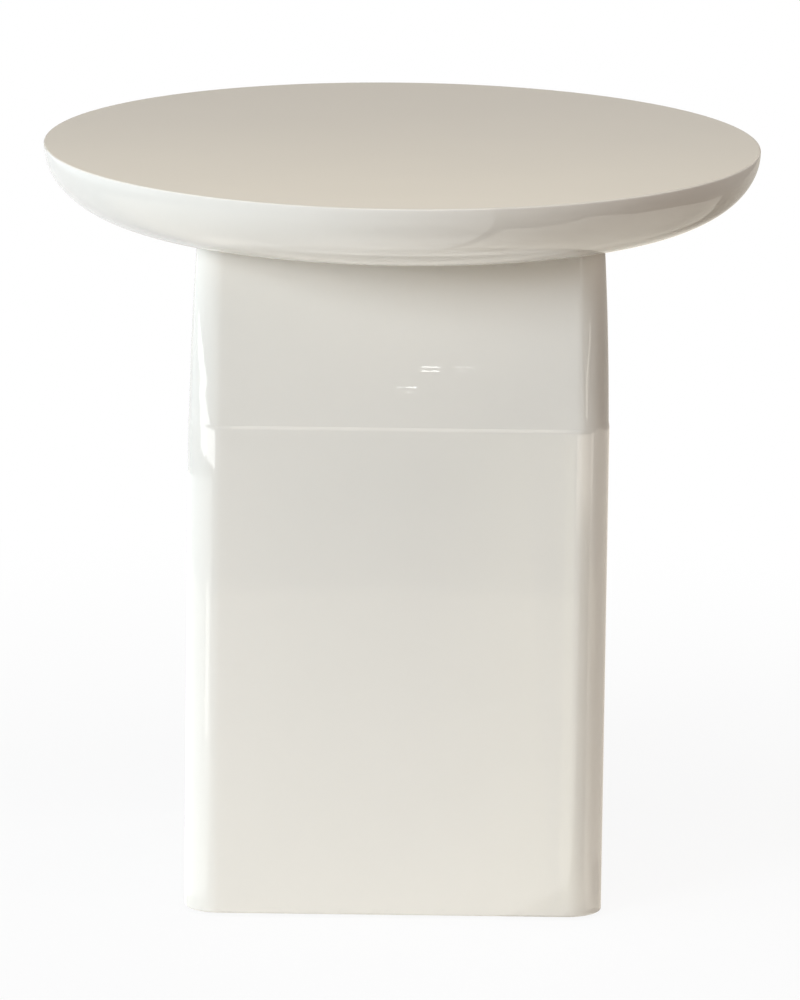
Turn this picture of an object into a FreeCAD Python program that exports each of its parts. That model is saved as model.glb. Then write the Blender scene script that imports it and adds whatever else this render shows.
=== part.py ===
import FreeCAD, Part
import math
import os

# A side table: a round top with a bowl-curved edge on a rounded-square lacquered column, in millimetres.
# The origin is on the floor under the middle of the column, +Z is up and the front faces -Y.

# Outside form
overall_height = 520.0
top_diameter = 500.0
underside_flat_diameter = 364.0
rim_arris = 1.5
bowl_fullness_share = 0.552
column_width = 290.0
corner_radius = 24.0
bottom_arris = 1.5
floor_gap = 2.0

# Joint line, and the shoulder that curves in above it
shoulder_height = 122.0
shoulder_inset = 4.5
shoulder_middle_inset_share = 0.32
joint_reveal = 0.4
joint_arris_height = 1.6

# Board stock
top_board_thickness = 25.0
underlayer_thickness = 25.0
panel_thickness = 18.0
post_land = 6.0
liner_thickness = 15.0
liner_depth_below_joint = 58.0
head_plate_thickness = 18.0
base_plate_thickness = 18.0
plate_clearance = 0.2
cleat_width = 25.0
cleat_height = 25.0
board_end_gap = 2.0

# Splines and dowels
spline_width = 16.0
spline_thickness = 4.0
spline_end_margin = 38.0
shoulder_spline_end_margin = 26.0
dowel_diameter = 8.0
dowel_length = 36.0
dowel_place_share = 0.6
fit_clearance = 0.1
round_clearance = 0.05
hole_end_room = 0.5

# Wood screws
screw_shank_diameter = 4.0
screw_head_diameter = 8.0
screw_head_height = 2.2
screw_tip_length = 5.0
liner_screw_length = 28.0
head_screw_length = 42.0
cleat_screw_length = 38.0
base_screw_length = 36.0
liner_screw_share = 0.45
head_screw_share = 0.75
cleat_screw_share = 0.4
base_screw_share = 0.7

# Bolts that hold the top down
bolt_diameter = 6.0
washer_from_liner = 23.0
bolt_head_diameter = 10.0
bolt_head_height = 6.0
bolt_hole_diameter = 7.0
washer_diameter = 18.0
washer_hole_diameter = 6.4
washer_thickness = 1.6
insert_diameter = 10.0
insert_length = 13.0
bolt_end_margin = 1.0

# Levelling glides
pad_diameter = 32.0
pad_height = 6.0
pad_edge_radius = 1.5
pad_recess_depth = 2.0
stud_diameter = 8.0
stud_length = 34.0
stud_foot_diameter = 20.0
stud_hex_across_flats = 14.0
stud_hex_height = 5.7
stud_tip_chamfer = 1.0
stop_clearance = 0.3
tee_nut_flange_diameter = 22.0
tee_nut_flange_thickness = 1.5
tee_nut_barrel_diameter = 10.0
tee_nut_barrel_length = 13.0
tee_nut_from_cleat = 17.0

# How far a cutting shape runs past the face that it opens
cut_overrun = 1.0

# Counts and angles
side_names = ("front", "right", "back", "left")
corner_names = ("front_right", "back_right", "back_left", "front_left")
full_turn = 360.0
quarter_turn = full_turn / len(side_names)
eighth_turn = math.radians(quarter_turn / 2)
hex_sides = 6

# Places that follow from the sizes
Vector = FreeCAD.Vector
origin = Vector(0, 0, 0)
up = Vector(0, 0, 1)
down = Vector(0, 0, -1)
outwards = Vector(0, -1, 0)
column_half = column_width / 2
inner_half = column_half - panel_thickness
post_side = corner_radius + post_land
panel_half = column_half - post_side
panel_middle = column_half - panel_thickness / 2
top_radius = top_diameter / 2
column_top = overall_height - top_board_thickness - underlayer_thickness
layer_height = overall_height - top_board_thickness
joint_height = column_top - shoulder_height
plate_half = inner_half - plate_clearance
base_plate_bottom = pad_height + stud_hex_height + stop_clearance
base_plate_top = base_plate_bottom + base_plate_thickness
head_plate_bottom = column_top - head_plate_thickness
liner_face = inner_half - liner_thickness
liner_middle = inner_half - liner_thickness / 2
liner_half = min(liner_face, panel_half) - board_end_gap
liner_bottom = joint_height - liner_depth_below_joint
cleat_face = inner_half - cleat_width
cleat_middle = inner_half - cleat_width / 2
cleat_half = min(cleat_face, panel_half) - board_end_gap
bolt_spacing = (liner_face - washer_from_liner - washer_diameter / 2) * 2
bolt_place = bolt_spacing / 2
glide_place = cleat_face - tee_nut_from_cleat


def turned(shape, quarters):
    """A copy of a shape, turned about the table's upright axis by a number of quarter turns."""
    copy = shape.copy()
    copy.rotate(origin, up, quarter_turn * quarters)
    return copy


def all_round(shapes):
    """The front side's shapes, repeated on the four sides."""
    return [turned(shape, side) for side in range(len(side_names)) for shape in shapes]


def placed(shape, position, direction):
    """A copy of a shape that was made along +Z, pointed along a direction from a position."""
    copy = shape.copy()
    copy.Placement = FreeCAD.Placement(position, FreeCAD.Rotation(up, direction))
    return copy


def block(low, high):
    """A box between two corners."""
    size = high.sub(low)
    return Part.makeBox(size.x, size.y, size.z, low)


def revolved(points):
    """A solid turned about Z from a closed profile of (radius, height) points."""
    corners = [Vector(radius, 0, height) for radius, height in points]
    return Part.Face(Part.makePolygon(corners + corners[:1])).revolve(origin, up, full_turn)


def save(name, shape):
    """Writes one piece, or one group of like pieces, as its own file."""
    shape.exportStep(os.path.join("parts", name + ".step"))


def column_outline(inset, height):
    """The column's rounded-square outline at one height, drawn in from its full width by an inset."""
    half = column_half - inset
    flat = column_half - corner_radius
    bow = (corner_radius - inset) * math.cos(eighth_turn)
    start = Vector(-flat, -half, height)
    bend = Vector(flat, -half, height)
    middle = Vector(flat + bow, -flat - bow, height)
    end = Vector(half, -flat, height)
    side = [Part.LineSegment(start, bend).toShape(), Part.Arc(bend, middle, end).toShape()]
    return Part.Wire(all_round(side))


def column_form():
    """The straight column's outer form, with a rounded lower edge and a softened edge at the joint line."""
    straight_top = joint_height - joint_arris_height
    rise = Vector(0, 0, straight_top - floor_gap)
    straight = Part.Face(column_outline(0, floor_gap)).extrude(rise)
    lower_edges = [edge for edge in straight.Edges if edge.BoundBox.ZMax < floor_gap + bottom_arris]
    straight = straight.makeFillet(bottom_arris, lower_edges)
    soft_edge = Part.makeLoft(
        [column_outline(0, straight_top), column_outline(joint_reveal, joint_height)], True, True
    )
    return straight.fuse(soft_edge).removeSplitter()


def shoulder_form():
    """The shoulder's outer form, lofted through three outlines that draw in faster towards the top."""
    middle_inset = joint_reveal + shoulder_inset * shoulder_middle_inset_share
    outlines = [
        column_outline(joint_reveal, joint_height),
        column_outline(middle_inset, joint_height + shoulder_height / 2),
        column_outline(joint_reveal + shoulder_inset, column_top),
    ]
    return Part.makeLoft(outlines, True, False)


def side_space():
    """The upright space that a front board fills, between its two corner pieces."""
    low = Vector(-panel_half, -column_half - cut_overrun, -cut_overrun)
    return block(low, Vector(panel_half, -inner_half, overall_height))


def corner_space():
    """The upright space that the front right corner piece fills."""
    low = Vector(panel_half, -column_half - cut_overrun, -cut_overrun)
    return block(low, Vector(column_half + cut_overrun, -panel_half, overall_height))


def top_form():
    """The whole round top, turned from one profile: flat underside, bowl curve, fine rim edge, flat top."""
    flat_radius = underside_flat_diameter / 2
    reach = top_radius - flat_radius
    rim_height = overall_height - rim_arris
    depth = rim_height - column_top
    flat_end = Vector(flat_radius, 0, column_top)
    rim_low = Vector(top_radius, 0, rim_height)
    rim_high = Vector(top_radius - rim_arris, 0, overall_height)
    rim_bow = rim_arris - rim_arris * math.cos(eighth_turn)
    rim_middle = Vector(top_radius - rim_bow, 0, overall_height - rim_bow)
    bowl = Part.BezierCurve()
    bowl.setPoles([
        flat_end,
        Vector(flat_radius + reach * bowl_fullness_share, 0, column_top),
        Vector(top_radius, 0, rim_height - depth * bowl_fullness_share),
        rim_low,
    ])
    foot = Vector(0, 0, column_top)
    head = Vector(0, 0, overall_height)
    profile = Part.Wire([
        Part.LineSegment(foot, flat_end).toShape(),
        bowl.toShape(),
        Part.Arc(rim_low, rim_middle, rim_high).toShape(),
        Part.LineSegment(rim_high, head).toShape(),
        Part.LineSegment(head, foot).toShape(),
    ])
    return Part.Face(profile).revolve(origin, up, full_turn)


def spline(bottom, top, room):
    """A loose tongue across the front board's right-hand end, grown by some room to make its groove."""
    reach = Vector(spline_width / 2 + room, spline_thickness / 2 + room, room)
    low = Vector(panel_half, -panel_middle, bottom).sub(reach)
    return block(low, Vector(panel_half, -panel_middle, top).add(reach))


def end_splines(bottom, top, room):
    """The front board's two tongues."""
    right = spline(bottom, top, room)
    return [right, right.mirror(origin, Vector(1, 0, 0))]


def column_splines(room):
    """The tongues beside the front panel."""
    return end_splines(floor_gap + spline_end_margin, joint_height - spline_end_margin, room)


def shoulder_splines(room):
    """The tongues beside the shoulder's front board."""
    bottom = joint_height + shoulder_spline_end_margin
    return end_splines(bottom, column_top - shoulder_spline_end_margin, room)


def dowel(place, grow, end_room):
    """A dowel across the joint line, grown to make its hole."""
    length = dowel_length + end_room * 2
    base = Vector(place.x, place.y, joint_height - length / 2)
    return Part.makeCylinder(dowel_diameter / 2 + grow, length, base)


def front_dowels(grow=0, end_room=0):
    """The two dowels between the front panel and the shoulder's front board."""
    across = panel_half * dowel_place_share
    places = [Vector(-across, -panel_middle, 0), Vector(across, -panel_middle, 0)]
    return [dowel(place, grow, end_room) for place in places]


def corner_dowel(grow=0, end_room=0):
    """The dowel between the front right post and its shoulder block."""
    middle = column_half - post_side / 2
    return dowel(Vector(middle, -middle, 0), grow, end_room)


def screw(length):
    """A countersunk wood screw along +Z, with the flat of its head at zero."""
    shank = screw_shank_diameter / 2
    return revolved([
        (0, 0),
        (screw_head_diameter / 2, 0),
        (shank, screw_head_height),
        (shank, length - screw_tip_length),
        (0, length),
    ])


def screw_hole(length):
    """The countersunk hole for that screw, open past the flat of the head."""
    shank = screw_shank_diameter / 2 + round_clearance
    head = screw_head_diameter / 2 + round_clearance
    return revolved([
        (0, -cut_overrun),
        (head, -cut_overrun),
        (head, 0),
        (shank, screw_head_height + round_clearance),
        (shank, length - screw_tip_length + round_clearance),
        (0, length + hole_end_room),
    ])


def on_front_liner(shape):
    """Copies of a screw or its hole on the front liner, two under the joint line and two over it."""
    across = liner_half * liner_screw_share
    heights = [(liner_bottom + joint_height) / 2, (joint_height + head_plate_bottom) / 2]
    return [
        placed(shape, Vector(side * across, -liner_face, height), outwards)
        for side in (-1, 1) for height in heights
    ]


def on_front_cleat(shape):
    """Copies of a screw or its hole that fasten the front cleat to its panel."""
    across = cleat_half * cleat_screw_share
    height = base_plate_top + cleat_height / 2
    return [placed(shape, Vector(side * across, -cleat_face, height), outwards) for side in (-1, 1)]


def on_head_plate(shape):
    """Copies of a screw or its hole that fasten the head plate down to the front liner."""
    across = liner_half * head_screw_share
    return [placed(shape, Vector(side * across, -liner_middle, column_top), down) for side in (-1, 1)]


def on_base_plate(shape):
    """Copies of a screw or its hole that fasten the base plate up to the front cleat."""
    across = cleat_half * base_screw_share
    return [placed(shape, Vector(side * across, -cleat_middle, base_plate_bottom), up) for side in (-1, 1)]


def at_bolts(shape, height):
    """Copies of a shape on the four bolt places."""
    raised = placed(shape, Vector(bolt_place, -bolt_place, height), up)
    return all_round([raised])


def at_glides(shape, height):
    """Copies of a shape on the four glide places, in the order of the corners."""
    raised = placed(shape, Vector(glide_place, -glide_place, height), up)
    return all_round([raised])


def notched_plate(bottom, thickness):
    """A square plate inside the column, notched round the corner pieces."""
    plate = block(Vector(-plate_half, -plate_half, bottom), Vector(plate_half, plate_half, bottom + thickness))
    notch_edge = panel_half - plate_clearance
    low = Vector(notch_edge, -plate_half - cut_overrun, bottom - cut_overrun)
    high = Vector(plate_half + cut_overrun, -notch_edge, bottom + thickness + cut_overrun)
    return plate.cut(all_round([block(low, high)]))


def make_top():
    """The two layers of the top, and what bolts them to the column."""
    whole = top_form()
    reach = top_radius + cut_overrun
    layer = block(Vector(-reach, -reach, layer_height), Vector(reach, reach, overall_height + cut_overrun))
    insert_radius = insert_diameter / 2
    insert_hole = Part.makeCylinder(insert_radius + round_clearance, insert_length + hole_end_room)
    save("top_board", whole.common(layer))
    save("top_underlayer", whole.cut(layer).cut(at_bolts(insert_hole, column_top)))
    bolt_radius = bolt_diameter / 2
    insert = Part.makeCylinder(insert_radius, insert_length)
    insert = insert.cut(Part.makeCylinder(bolt_radius + round_clearance, insert_length))
    save("top_inserts", Part.makeCompound(at_bolts(insert, column_top)))
    washer = Part.makeCylinder(washer_diameter / 2, washer_thickness)
    washer = washer.cut(Part.makeCylinder(washer_hole_diameter / 2, washer_thickness))
    washer_bottom = head_plate_bottom - washer_thickness
    save("top_washers", Part.makeCompound(at_bolts(washer, washer_bottom)))
    shank_end = washer_thickness + head_plate_thickness + insert_length - bolt_end_margin
    bolt = revolved([
        (0, -bolt_head_height),
        (bolt_head_diameter / 2, -bolt_head_height),
        (bolt_head_diameter / 2, 0),
        (bolt_radius, 0),
        (bolt_radius, shank_end),
        (0, shank_end),
    ])
    save("top_bolts", Part.makeCompound(at_bolts(bolt, washer_bottom)))


def make_shell():
    """The boards and corner pieces of the shoulder and the straight column, with their tongues and dowels."""
    column = column_form()
    shoulder = shoulder_form()
    dowel_holes = front_dowels(round_clearance, hole_end_room)
    liner_holes = on_front_liner(screw_hole(liner_screw_length))
    cleat_holes = on_front_cleat(screw_hole(cleat_screw_length))
    column_grooves = column_splines(fit_clearance)
    shoulder_grooves = shoulder_splines(fit_clearance)
    panel = column.common(side_space())
    panel = panel.cut(column_grooves + dowel_holes + liner_holes + cleat_holes)
    board = shoulder.common(side_space())
    board = board.cut(shoulder_grooves + dowel_holes + liner_holes)
    post_dowel_hole = corner_dowel(round_clearance, hole_end_room)
    post = column.common(corner_space())
    post = post.cut([column_grooves[0], turned(column_grooves[1], 1), post_dowel_hole])
    corner = shoulder.common(corner_space())
    corner = corner.cut([shoulder_grooves[0], turned(shoulder_grooves[1], 1), post_dowel_hole])
    for quarters, side in enumerate(side_names):
        save("panel_" + side, turned(panel, quarters))
        save("shoulder_" + side, turned(board, quarters))
    for quarters, place in enumerate(corner_names):
        save("corner_post_" + place, turned(post, quarters))
        save("shoulder_corner_" + place, turned(corner, quarters))
    save("panel_splines", Part.makeCompound(all_round(column_splines(0))))
    save("shoulder_splines", Part.makeCompound(all_round(shoulder_splines(0))))
    save("joint_dowels", Part.makeCompound(all_round(front_dowels() + [corner_dowel()])))


def make_head():
    """The liners that bridge the joint line, and the head plate that they carry."""
    liner = block(
        Vector(-liner_half, -inner_half, liner_bottom),
        Vector(liner_half, -liner_face, head_plate_bottom),
    )
    head_holes = on_head_plate(screw_hole(head_screw_length))
    liner = liner.cut(on_front_liner(screw_hole(liner_screw_length)) + head_holes)
    for quarters, side in enumerate(side_names):
        save("liner_" + side, turned(liner, quarters))
    bolt_hole = Part.makeCylinder(bolt_hole_diameter / 2, head_plate_thickness)
    plate = notched_plate(head_plate_bottom, head_plate_thickness)
    save("head_plate", plate.cut(all_round(head_holes) + at_bolts(bolt_hole, head_plate_bottom)))
    save("liner_screws", Part.makeCompound(all_round(on_front_liner(screw(liner_screw_length)))))
    save("head_plate_screws", Part.makeCompound(all_round(on_head_plate(screw(head_screw_length)))))


def make_base():
    """The cleats inside the foot, the base plate under them, and the tee nuts for the glides."""
    cleat = block(
        Vector(-cleat_half, -inner_half, base_plate_top),
        Vector(cleat_half, -cleat_face, base_plate_top + cleat_height),
    )
    base_holes = on_base_plate(screw_hole(base_screw_length))
    cleat = cleat.cut(on_front_cleat(screw_hole(cleat_screw_length)) + base_holes)
    for quarters, side in enumerate(side_names):
        save("base_cleat_" + side, turned(cleat, quarters))
    barrel_radius = tee_nut_barrel_diameter / 2
    barrel_hole = Part.makeCylinder(barrel_radius + round_clearance, base_plate_thickness)
    plate = notched_plate(base_plate_bottom, base_plate_thickness)
    save("base_plate", plate.cut(all_round(base_holes) + at_glides(barrel_hole, base_plate_bottom)))
    save("cleat_screws", Part.makeCompound(all_round(on_front_cleat(screw(cleat_screw_length)))))
    save("base_plate_screws", Part.makeCompound(all_round(on_base_plate(screw(base_screw_length)))))
    bore_radius = stud_diameter / 2 + round_clearance
    tee_nut = revolved([
        (bore_radius, -tee_nut_barrel_length),
        (barrel_radius, -tee_nut_barrel_length),
        (barrel_radius, 0),
        (tee_nut_flange_diameter / 2, 0),
        (tee_nut_flange_diameter / 2, tee_nut_flange_thickness),
        (bore_radius, tee_nut_flange_thickness),
    ])
    save("leveller_tee_nuts", Part.makeCompound(at_glides(tee_nut, base_plate_top)))


def make_glides():
    """The four levelling glides: a steel stud with a hexagon and foot, seated in a nylon pad."""
    pad = Part.makeCylinder(pad_diameter / 2, pad_height)
    pad = pad.makeFillet(pad_edge_radius, [edge for edge in pad.Edges if edge.Closed])
    recess_floor = pad_height - pad_recess_depth
    recess_radius = stud_foot_diameter / 2 + fit_clearance
    pad = pad.cut(Part.makeCylinder(recess_radius, pad_height, Vector(0, 0, recess_floor)))
    foot = Part.makeCylinder(stud_foot_diameter / 2, pad_recess_depth, Vector(0, 0, recess_floor))
    hex_radius = stud_hex_across_flats / 2 / math.cos(math.pi / hex_sides)
    corners = [
        Vector(hex_radius * math.cos(turn), hex_radius * math.sin(turn), pad_height)
        for turn in (math.tau * step / hex_sides for step in range(hex_sides))
    ]
    hexagon = Part.Face(Part.makePolygon(corners + corners[:1])).extrude(Vector(0, 0, stud_hex_height))
    hex_top = pad_height + stud_hex_height
    stud_radius = stud_diameter / 2
    shank = revolved([
        (0, hex_top),
        (stud_radius, hex_top),
        (stud_radius, hex_top + stud_length - stud_tip_chamfer),
        (stud_radius - stud_tip_chamfer, hex_top + stud_length),
        (0, hex_top + stud_length),
    ])
    stud = foot.fuse([hexagon, shank]).removeSplitter()
    for place, moved_pad, moved_stud in zip(corner_names, at_glides(pad, 0), at_glides(stud, 0)):
        save("leveller_pad_" + place, moved_pad)
        save("leveller_stud_" + place, moved_stud)


os.makedirs("parts", exist_ok=True)
make_top()
make_shell()
make_head()
make_base()
make_glides()
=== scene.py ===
"""Looks of a lacquered side table: a bowl-edged round top on a rounded-square column with a curved shoulder."""

import logging
import math
from dataclasses import dataclass, field
from enum import Enum
from typing import Any, Callable, Iterable, Sequence

import bmesh
import bpy
from mathutils import Matrix, Vector, noise
from mathutils.geometry import interpolate_bezier


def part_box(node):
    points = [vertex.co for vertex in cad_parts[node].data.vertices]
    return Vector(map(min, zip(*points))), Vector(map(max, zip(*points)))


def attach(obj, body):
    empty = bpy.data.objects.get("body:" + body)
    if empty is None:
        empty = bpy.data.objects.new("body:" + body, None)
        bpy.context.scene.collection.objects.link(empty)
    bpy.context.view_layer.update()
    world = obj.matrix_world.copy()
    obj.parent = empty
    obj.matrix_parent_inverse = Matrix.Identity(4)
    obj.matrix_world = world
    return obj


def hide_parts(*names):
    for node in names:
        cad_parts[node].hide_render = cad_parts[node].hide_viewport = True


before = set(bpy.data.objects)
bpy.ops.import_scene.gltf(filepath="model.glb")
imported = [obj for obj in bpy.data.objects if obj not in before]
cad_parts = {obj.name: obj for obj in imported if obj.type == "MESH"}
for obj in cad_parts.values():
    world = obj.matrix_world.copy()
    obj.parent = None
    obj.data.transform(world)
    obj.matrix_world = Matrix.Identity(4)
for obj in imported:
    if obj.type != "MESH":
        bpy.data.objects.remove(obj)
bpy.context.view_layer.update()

LOG = logging.getLogger("side_table")
TOUCH = 1e-6
UP = Vector((0, 0, 1))
RIGHT = Vector((1, 0, 0))
BACK = Vector((0, 1, 0))
QUARTER_TURN = math.pi / 2
SMOOTH_LIMIT = math.radians(32)
ROUND_HANDLE_SHARE = 0.5523

Colour = tuple[float, float, float, float]
Point = tuple[float, float, float]
Spot = tuple[float, float]
Line = tuple[Point, ...]
Sheet = tuple[Line, Line]
Socket = bpy.types.NodeSocket
Tree = bpy.types.NodeTree
Form = bmesh.types.BMesh

WHITE: Colour = (1, 1, 1, 1)
BLACK: Colour = (0, 0, 0, 1)


class Side(Enum):
    """The column's four sides, in quarter turns from the front."""

    FRONT = 0
    RIGHT = 1
    BACK = 2
    LEFT = 3


class Corner(Enum):
    """The column's four corners, in quarter turns from the front right one."""

    FRONT_RIGHT = 0
    BACK_RIGHT = 1
    BACK_LEFT = 2
    FRONT_LEFT = 3


class Slot(Enum):
    """The record's material slots for the made pieces, handed to each piece but not used."""

    LACQUER = "cream_lacquer"
    ZINC = "zinc_steel"
    NYLON = "nylon"


class Body(Enum):
    """The fixed body that most pieces ride on."""

    TABLE = "table"


@dataclass
class Graph:
    """A short way to add nodes to one tree and wire them."""

    tree: Tree

    @classmethod
    def of(cls, owner: bpy.types.ID) -> "Graph":
        """Starts an empty tree.

        Args:
            owner: a new material or world.

        Returns:
            The graph of its tree.
        """
        owner.use_nodes = True
        owner.node_tree.nodes.clear()
        return cls(owner.node_tree)

    def node(self, kind: str, inputs: dict[Any, Any] | None = None, **settings: Any) -> bpy.types.Node:
        """Adds a node.

        Args:
            kind: Blender's name for the node type.
            inputs: socket name or number to a plain value, or to a socket that is wired in.
            settings: the node's own properties.

        Returns:
            The new node.
        """
        made = self.tree.nodes.new(kind)
        for key, value in settings.items():
            setattr(made, key, value)
        for key, value in (inputs or {}).items():
            if isinstance(value, Socket):
                self.tree.links.new(value, made.inputs[key])
            else:
                made.inputs[key].default_value = value
        return made

    def math(self, operation: str, *values: Any) -> Socket:
        """Adds a Math node and returns its result."""
        return self.node("ShaderNodeMath", dict(enumerate(values)), operation=operation).outputs[0]

    def ramp(self, value: Any, low: Any, high: Any, to_low: Any = 0.0, to_high: Any = 1.0) -> Socket:
        """Adds a smooth Map Range.

        Args:
            value: what is mapped.
            low: the value that gives to_low.
            high: the value that gives to_high.
            to_low: result at low.
            to_high: result at high.

        Returns:
            The mapped value.
        """
        ends = {"Value": value, "From Min": low, "From Max": high, "To Min": to_low, "To Max": to_high}
        return self.node("ShaderNodeMapRange", ends, interpolation_type="SMOOTHSTEP").outputs[0]

    def mix(self, share: Any, first: Any, second: Any) -> Socket:
        """Adds a colour mix and returns its result."""
        return self.node("ShaderNodeMix", {0: share, 6: first, 7: second}, data_type="RGBA").outputs[2]

    def noise(self, vector: Any, scale: Any, detail: float = 2.0, rough: float = 0.5) -> Socket:
        """Adds a noise texture and returns its value."""
        inputs = {"Vector": vector, "Scale": scale, "Detail": detail, "Roughness": rough}
        return self.node("ShaderNodeTexNoise", inputs).outputs[0]

    def place(self) -> Socket:
        """Adds the coordinates that every pattern reads, in metres in the table's own frame."""
        return self.node("ShaderNodeTexCoord").outputs["Object"]

    def along(self, axis: str) -> Socket:
        """Adds one of those coordinates."""
        return self.node("ShaderNodeSeparateXYZ", {0: self.place()}).outputs[axis]

    def shown(self, rays: bpy.types.Node) -> Socket:
        """Adds a mask of the rays that show a background: seen, mirrored or looked at through glass."""
        seen = self.math("MAXIMUM", rays.outputs["Is Camera Ray"], rays.outputs["Is Glossy Ray"])
        return self.math("MAXIMUM", seen, rays.outputs["Is Transmission Ray"])


@dataclass(frozen=True)
class Effect:
    """A node group that several finishes use, built when it is first placed.

    A socket called Vector is a vector, one that ends in Colour is a colour, and the others are numbers.
    """

    name: str
    inputs: tuple[str, ...]
    outputs: tuple[str, ...]
    wire: Callable[[Graph, Any], list[Socket]]

    def tree(self) -> Tree:
        """Finds or builds the group.

        Returns:
            The group's tree.
        """
        known = bpy.data.node_groups.get(self.name)
        if known:
            return known
        tree = bpy.data.node_groups.new(self.name, "ShaderNodeTree")
        for label, way in [(i, "INPUT") for i in self.inputs] + [(o, "OUTPUT") for o in self.outputs]:
            kind = "Vector" if label == "Vector" else "Color" if label.endswith("Colour") else "Float"
            tree.interface.new_socket(label, in_out=way, socket_type="NodeSocket" + kind)
        graph = Graph(tree)
        start = graph.node("NodeGroupInput")
        made = self.wire(graph, start.outputs)
        graph.node("NodeGroupOutput", dict(zip(self.outputs, made)))
        return tree

    def place(self, graph: Graph, *values: Any) -> list[Socket]:
        """Places the group, with values for its inputs in their order, and returns its outputs."""
        return list(graph.node("ShaderNodeGroup", dict(enumerate(values)), node_tree=self.tree()).outputs)


NIB_SHARE = 0.022
RUB_RANGE = (0.3, 0.7)
FIBRE_SHARE = 0.45
FIGURE_RANGE = (0.36, 0.64)


def film_relief(graph: Graph, given: Any) -> list[Socket]:
    """Adds up orange peel, slow hand-sanded waves and a few dust nibs.

    Args:
        graph: the group's graph.
        given: the group's inputs, by name.

    Returns:
        The height in metres.
    """
    vector = given["Vector"]
    peel = graph.noise(vector, graph.math("DIVIDE", 1.0, given["Peel Size"]), detail=1.0)
    peel = graph.math("MULTIPLY", peel, given["Peel Height"])
    wave = graph.noise(vector, graph.math("DIVIDE", 1.0, given["Wave Size"]), detail=0.0)
    wave = graph.math("MULTIPLY", wave, given["Wave Height"])
    spacing = graph.math("DIVIDE", 1.0, given["Nib Spacing"])
    cells = graph.node("ShaderNodeTexVoronoi", {"Vector": vector, "Scale": spacing})
    nib = graph.ramp(cells.outputs["Distance"], NIB_SHARE, 0.0)
    nib = graph.math("MULTIPLY", nib, given["Nib Height"])
    return [graph.math("ADD", graph.math("ADD", peel, wave), nib)]


def drifted_tone(graph: Graph, given: Any) -> list[Socket]:
    """Makes a colour drift a little lighter and darker over the surface.

    Args:
        graph: the group's graph.
        given: the group's inputs, by name.

    Returns:
        The drifted colour.
    """
    drift = graph.noise(given["Vector"], given["Scale"], detail=3.0)
    drift = graph.math("MULTIPLY", graph.math("SUBTRACT", drift, 0.5), given["Amount"])
    inputs = {0: given["Base Colour"], "Scale": graph.math("ADD", drift, 1.0)}
    return [graph.node("ShaderNodeVectorMath", inputs, operation="SCALE").outputs[0]]


def rubbed_roughness(graph: Graph, given: Any) -> list[Socket]:
    """A roughness that changes where hands and cloths have rubbed."""
    rub = graph.noise(given["Vector"], given["Scale"], detail=6.0, rough=0.62)
    return [graph.ramp(rub, *RUB_RANGE, given["Smoothest"], given["Roughest"])]


def figured_wood(graph: Graph, given: Any) -> list[Socket]:
    """Mixes long fibres and slow growth bands that run along one direction of the stretched coordinates.

    Args:
        graph: the group's graph.
        given: the group's inputs, by name.

    Returns:
        The colour, and the height in metres.
    """
    bands = graph.noise(given["Vector"], given["Band Scale"], detail=2.0)
    fibre = graph.noise(given["Vector"], given["Fibre Scale"], detail=4.0, rough=0.7)
    bands = graph.math("MULTIPLY", bands, 1 - FIBRE_SHARE)
    share = graph.ramp(graph.math("MULTIPLY_ADD", fibre, FIBRE_SHARE, bands), *FIGURE_RANGE)
    colour = graph.mix(share, given["Light Colour"], given["Dark Colour"])
    return [colour, graph.math("MULTIPLY", fibre, given["Fibre Height"])]


SPRAYED_FILM = Effect(
    "sprayed film",
    ("Vector", "Peel Size", "Peel Height", "Wave Size", "Wave Height", "Nib Spacing", "Nib Height"),
    ("Height",), film_relief)
TONE_DRIFT = Effect("tone drift", ("Vector", "Base Colour", "Scale", "Amount"), ("Drifted Colour",), drifted_tone)
RUBBED_GLOSS = Effect(
    "rubbed gloss", ("Vector", "Scale", "Smoothest", "Roughest"), ("Roughness",), rubbed_roughness)
WOOD_FIGURE = Effect(
    "wood figure", ("Vector", "Band Scale", "Fibre Scale", "Light Colour", "Dark Colour", "Fibre Height"),
    ("Figure Colour", "Height"), figured_wood)


@dataclass(frozen=True)
class Finish:
    """What every finish has: a name, and a way to become a material once."""

    name: str

    def material(self) -> bpy.types.Material:
        """Finds the finish's material, or makes it.

        Returns:
            The material.
        """
        known = bpy.data.materials.get(self.name)
        if known:
            return known
        made = bpy.data.materials.new(self.name)
        self.wire(Graph.of(made))
        return made

    def wire(self, graph: Graph) -> None:
        """Fills the material's nodes."""
        raise NotImplementedError

    @staticmethod
    def close(graph: Graph, inputs: dict[str, Any], height: Socket | None = None) -> None:
        """Adds the surface shader and the output.

        Args:
            graph: the material's graph.
            inputs: what the shader's sockets are given.
            height: relief in metres, if the finish has any.
        """
        shader = graph.node("ShaderNodeBsdfPrincipled", inputs)
        if height is not None:
            bump = graph.node("ShaderNodeBump", {"Height": height, "Distance": 1.0, "Strength": 1.0})
            graph.tree.links.new(bump.outputs[0], shader.inputs["Normal"])
        graph.node("ShaderNodeOutputMaterial", {"Surface": shader.outputs[0]})


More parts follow.
